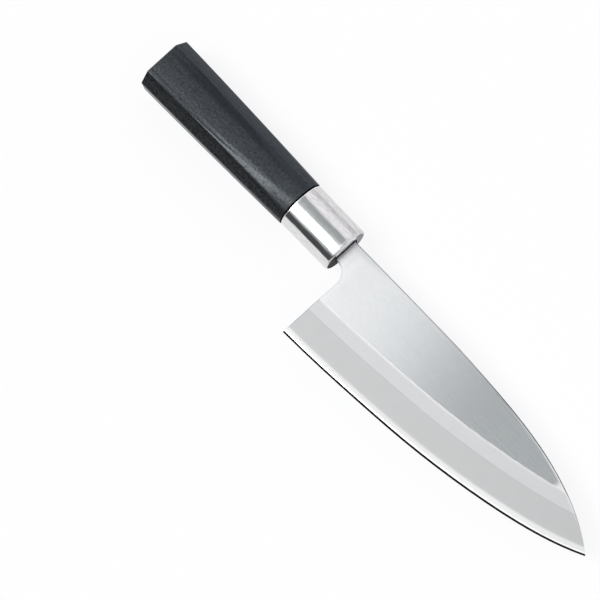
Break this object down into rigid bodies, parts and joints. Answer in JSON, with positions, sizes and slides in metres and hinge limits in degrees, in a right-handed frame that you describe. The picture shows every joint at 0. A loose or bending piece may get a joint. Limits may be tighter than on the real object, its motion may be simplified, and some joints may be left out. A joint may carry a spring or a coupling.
{
  "type": "deba knife",
  "caption": "Single-bevel deba kitchen knife: a thick two-stage bevelled steel blade, a polished steel ferrule and a black eight-sided plastic grip.",
  "frame": {"origin": "centre of the knife's bounding box in X and Y, at its lowest height, as it lies on its back", "axes": "+X from the butt to the tip, +Y from the edge to the spine, +Z through the thickness, towards the bevelled face"},
  "size_m": [0.3194, 0.0654, 0.0235],
  "materials": {
    "blade_steel": "satin, with polished strips along the edge",
    "ferrule_steel": "mirror polished",
    "grip_plastic": "fine matte moulding texture",
    "mouth_filler": "matte filler",
    "tang_resin": "cured resin"
  },
  "bodies": {
    "root": {"blade": "blade_steel", "ferrule": "ferrule_steel", "handle": "grip_plastic", "mouth_seal": "mouth_filler", "tang_adhesive": "tang_resin"}
  },
  "joints": []
}
